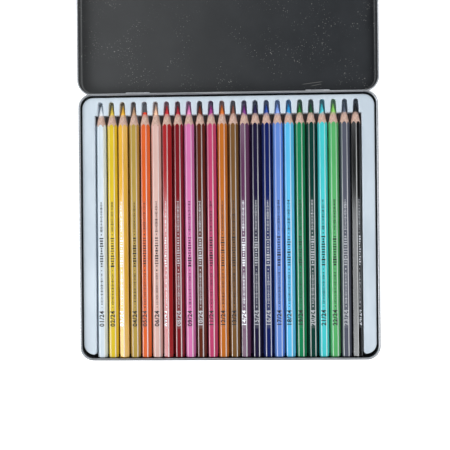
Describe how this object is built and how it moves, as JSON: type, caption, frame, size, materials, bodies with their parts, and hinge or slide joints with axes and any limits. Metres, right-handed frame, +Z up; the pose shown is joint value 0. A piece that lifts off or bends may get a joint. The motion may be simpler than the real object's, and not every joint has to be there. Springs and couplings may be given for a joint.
{
  "type": "coloured pencil tin",
  "caption": "Flat hinged metal tin with a formed plastic tray of coloured pencils side by side, shown open with its lid folded flat behind it.",
  "frame": {"origin": "middle of the underside of the base, on the surface it rests on", "axes": "+X to the right along the row of pencils, +Y along the pencils to their tips and the hinge, +Z up"},
  "size_m": [0.2084, 0.3696, 0.0103],
  "materials": {
    "tin": "dark satin lacquer inside and out",
    "pin": "bare drawn wire",
    "tray": "pale blue-grey formed sheet",
    "lacquer_white": "white gloss lacquer, bare wood on the sharpened cone",
    "lead_white": "white waxy pigment core",
    "lacquer_yellow": "yellow gloss lacquer, bare wood on the sharpened cone",
    "lead_yellow": "yellow waxy pigment core",
    "lacquer_golden_yellow": "golden yellow gloss lacquer, bare wood on the sharpened cone",
    "lead_golden_yellow": "golden yellow waxy pigment core",
    "lacquer_ochre": "ochre gloss lacquer, bare wood on the sharpened cone",
    "lead_ochre": "ochre waxy pigment core",
    "lacquer_orange_red": "orange red gloss lacquer, bare wood on the sharpened cone",
    "lead_orange_red": "orange red waxy pigment core",
    "lacquer_peach": "peach gloss lacquer, bare wood on the sharpened cone",
    "lead_peach": "peach waxy pigment core",
    "lacquer_red": "red gloss lacquer, bare wood on the sharpened cone",
    "lead_red": "red waxy pigment core",
    "lacquer_crimson": "crimson gloss lacquer, bare wood on the sharpened cone",
    "lead_crimson": "crimson waxy pigment core",
    "lacquer_pink": "pink gloss lacquer, bare wood on the sharpened cone",
    "lead_pink": "pink waxy pigment core",
    "lacquer_brown": "brown gloss lacquer, bare wood on the sharpened cone",
    "lead_brown": "brown waxy pigment core",
    "lacquer_rose": "rose gloss lacquer, bare wood on the sharpened cone",
    "lead_rose": "rose waxy pigment core",
    "lacquer_amber": "amber gloss lacquer, bare wood on the sharpened cone",
    "lead_amber": "amber waxy pigment core",
    "lacquer_olive_brown": "olive brown gloss lacquer, bare wood on the sharpened cone",
    "lead_olive_brown": "olive brown waxy pigment core",
    "lacquer_purple": "purple gloss lacquer, bare wood on the sharpened cone",
    "lead_purple": "purple waxy pigment core",
    "lacquer_indigo": "indigo gloss lacquer, bare wood on the sharpened cone",
    "lead_indigo": "indigo waxy pigment core",
    "lacquer_navy": "navy gloss lacquer, bare wood on the sharpened cone",
    "lead_navy": "navy waxy pigment core",
    "lacquer_cornflower": "cornflower gloss lacquer, bare wood on the sharpened cone",
    "lead_cornflower": "cornflower waxy pigment core",
    "lacquer_sky_blue": "sky blue gloss lacquer, bare wood on the sharpened cone",
    "lead_sky_blue": "sky blue waxy pigment core",
    "lacquer_green": "green gloss lacquer, bare wood on the sharpened cone",
    "lead_green": "green waxy pigment core",
    "lacquer_dark_green": "dark green gloss lacquer, bare wood on the sharpened cone",
    "lead_dark_green": "dark green waxy pigment core",
    "lacquer_turquoise": "turquoise gloss lacquer, bare wood on the sharpened cone",
    "lead_turquoise": "turquoise waxy pigment core",
    "lacquer_light_green": "light green gloss lacquer, bare wood on the sharpened cone",
    "lead_light_green": "light green waxy pigment core",
    "lacquer_grey": "grey gloss lacquer, bare wood on the sharpened cone",
    "lead_grey": "grey waxy pigment core",
    "lacquer_black": "black gloss lacquer, bare wood on the sharpened cone",
    "lead_black": "black waxy pigment core"
  },
  "bodies": {
    "base": {"tin_base": "tin", "hinge_pin_left": "pin", "hinge_pin_right": "pin"},
    "lid": {"tin_lid": "tin"},
    "tray": {"pencil_tray": "tray"},
    "pencil_01_white": {"pencil_01_white_barrel": "lacquer_white", "pencil_01_white_lead": "lead_white"},
    "pencil_02_yellow": {"pencil_02_yellow_barrel": "lacquer_yellow", "pencil_02_yellow_lead": "lead_yellow"},
    "pencil_03_golden_yellow": {"pencil_03_golden_yellow_barrel": "lacquer_golden_yellow", "pencil_03_golden_yellow_lead": "lead_golden_yellow"},
    "pencil_04_ochre": {"pencil_04_ochre_barrel": "lacquer_ochre", "pencil_04_ochre_lead": "lead_ochre"},
    "pencil_05_orange_red": {"pencil_05_orange_red_barrel": "lacquer_orange_red", "pencil_05_orange_red_lead": "lead_orange_red"},
    "pencil_06_peach": {"pencil_06_peach_barrel": "lacquer_peach", "pencil_06_peach_lead": "lead_peach"},
    "pencil_07_red": {"pencil_07_red_barrel": "lacquer_red", "pencil_07_red_lead": "lead_red"},
    "pencil_08_crimson": {"pencil_08_crimson_barrel": "lacquer_crimson", "pencil_08_crimson_lead": "lead_crimson"},
    "pencil_09_pink": {"pencil_09_pink_barrel": "lacquer_pink", "pencil_09_pink_lead": "lead_pink"},
    "pencil_10_brown": {"pencil_10_brown_barrel": "lacquer_brown", "pencil_10_brown_lead": "lead_brown"},
    "pencil_11_rose": {"pencil_11_rose_barrel": "lacquer_rose", "pencil_11_rose_lead": "lead_rose"},
    "pencil_12_amber": {"pencil_12_amber_barrel": "lacquer_amber", "pencil_12_amber_lead": "lead_amber"},
    "pencil_13_olive_brown": {"pencil_13_olive_brown_barrel": "lacquer_olive_brown", "pencil_13_olive_brown_lead": "lead_olive_brown"},
    "pencil_14_purple": {"pencil_14_purple_barrel": "lacquer_purple", "pencil_14_purple_lead": "lead_purple"},
    "pencil_15_indigo": {"pencil_15_indigo_barrel": "lacquer_indigo", "pencil_15_indigo_lead": "lead_indigo"},
    "pencil_16_navy": {"pencil_16_navy_barrel": "lacquer_navy", "pencil_16_navy_lead": "lead_navy"},
    "pencil_17_cornflower": {"pencil_17_cornflower_barrel": "lacquer_cornflower", "pencil_17_cornflower_lead": "lead_cornflower"},
    "pencil_18_sky_blue": {"pencil_18_sky_blue_barrel": "lacquer_sky_blue", "pencil_18_sky_blue_lead": "lead_sky_blue"},
    "pencil_19_green": {"pencil_19_green_barrel": "lacquer_green", "pencil_19_green_lead": "lead_green"},
    "pencil_20_dark_green": {"pencil_20_dark_green_barrel": "lacquer_dark_green", "pencil_20_dark_green_lead": "lead_dark_green"},
    "pencil_21_turquoise": {"pencil_21_turquoise_barrel": "lacquer_turquoise", "pencil_21_turquoise_lead": "lead_turquoise"},
    "pencil_22_light_green": {"pencil_22_light_green_barrel": "lacquer_light_green", "pencil_22_light_green_lead": "lead_light_green"},
    "pencil_23_grey": {"pencil_23_grey_barrel": "lacquer_grey", "pencil_23_grey_lead": "lead_grey"},
    "pencil_24_black": {"pencil_24_black_barrel": "lacquer_black", "pencil_24_black_lead": "lead_black"}
  },
  "joints": [
    {"name": "lid_hinge", "type": "hinge", "parent": "base", "child": "lid", "pos_m": [0, 0.0922, 0.007], "axis": [-1, 0, 0], "range_deg": [-180, 0]},
    {"name": "tray_lift", "type": "slide", "parent": "base", "child": "tray", "axis": [0, 0, 1], "range_m": [0, 0.014]},
    {"name": "pencil_01_white_lift", "type": "slide", "parent": "tray", "child": "pencil_01_white", "axis": [0, 0, 1], "range_m": [0, 0.014]},
    {"name": "pencil_02_yellow_lift", "type": "slide", "parent": "tray", "child": "pencil_02_yellow", "axis": [0, 0, 1], "range_m": [0, 0.014]},
    {"name": "pencil_03_golden_yellow_lift", "type": "slide", "parent": "tray", "child": "pencil_03_golden_yellow", "axis": [0, 0, 1], "range_m": [0, 0.014]},
    {"name": "pencil_04_ochre_lift", "type": "slide", "parent": "tray", "child": "pencil_04_ochre", "axis": [0, 0, 1], "range_m": [0, 0.014]},
    {"name": "pencil_05_orange_red_lift", "type": "slide", "parent": "tray", "child": "pencil_05_orange_red", "axis": [0, 0, 1], "range_m": [0, 0.014]},
    {"name": "pencil_06_peach_lift", "type": "slide", "parent": "tray", "child": "pencil_06_peach", "axis": [0, 0, 1], "range_m": [0, 0.014]},
    {"name": "pencil_07_red_lift", "type": "slide", "parent": "tray", "child": "pencil_07_red", "axis": [0, 0, 1], "range_m": [0, 0.014]},
    {"name": "pencil_08_crimson_lift", "type": "slide", "parent": "tray", "child": "pencil_08_crimson", "axis": [0, 0, 1], "range_m": [0, 0.014]},
    {"name": "pencil_09_pink_lift", "type": "slide", "parent": "tray", "child": "pencil_09_pink", "axis": [0, 0, 1], "range_m": [0, 0.014]},
    {"name": "pencil_10_brown_lift", "type": "slide", "parent": "tray", "child": "pencil_10_brown", "axis": [0, 0, 1], "range_m": [0, 0.014]},
    {"name": "pencil_11_rose_lift", "type": "slide", "parent": "tray", "child": "pencil_11_rose", "axis": [0, 0, 1], "range_m": [0, 0.014]},
    {"name": "pencil_12_amber_lift", "type": "slide", "parent": "tray", "child": "pencil_12_amber", "axis": [0, 0, 1], "range_m": [0, 0.014]},
    {"name": "pencil_13_olive_brown_lift", "type": "slide", "parent": "tray", "child": "pencil_13_olive_brown", "axis": [0, 0, 1], "range_m": [0, 0.014]},
    {"name": "pencil_14_purple_lift", "type": "slide", "parent": "tray", "child": "pencil_14_purple", "axis": [0, 0, 1], "range_m": [0, 0.014]},
    {"name": "pencil_15_indigo_lift", "type": "slide", "parent": "tray", "child": "pencil_15_indigo", "axis": [0, 0, 1], "range_m": [0, 0.014]},
    {"name": "pencil_16_navy_lift", "type": "slide", "parent": "tray", "child": "pencil_16_navy", "axis": [0, 0, 1], "range_m": [0, 0.014]},
    {"name": "pencil_17_cornflower_lift", "type": "slide", "parent": "tray", "child": "pencil_17_cornflower", "axis": [0, 0, 1], "range_m": [0, 0.014]},
    {"name": "pencil_18_sky_blue_lift", "type": "slide", "parent": "tray", "child": "pencil_18_sky_blue", "axis": [0, 0, 1], "range_m": [0, 0.014]},
    {"name": "pencil_19_green_lift", "type": "slide", "parent": "tray", "child": "pencil_19_green", "axis": [0, 0, 1], "range_m": [0, 0.014]},
    {"name": "pencil_20_dark_green_lift", "type": "slide", "parent": "tray", "child": "pencil_20_dark_green", "axis": [0, 0, 1], "range_m": [0, 0.014]},
    {"name": "pencil_21_turquoise_lift", "type": "slide", "parent": "tray", "child": "pencil_21_turquoise", "axis": [0, 0, 1], "range_m": [0, 0.014]},
    {"name": "pencil_22_light_green_lift", "type": "slide", "parent": "tray", "child": "pencil_22_light_green", "axis": [0, 0, 1], "range_m": [0, 0.014]},
    {"name": "pencil_23_grey_lift", "type": "slide", "parent": "tray", "child": "pencil_23_grey", "axis": [0, 0, 1], "range_m": [0, 0.014]},
    {"name": "pencil_24_black_lift", "type": "slide", "parent": "tray", "child": "pencil_24_black", "axis": [0, 0, 1], "range_m": [0, 0.014]}
  ]
}
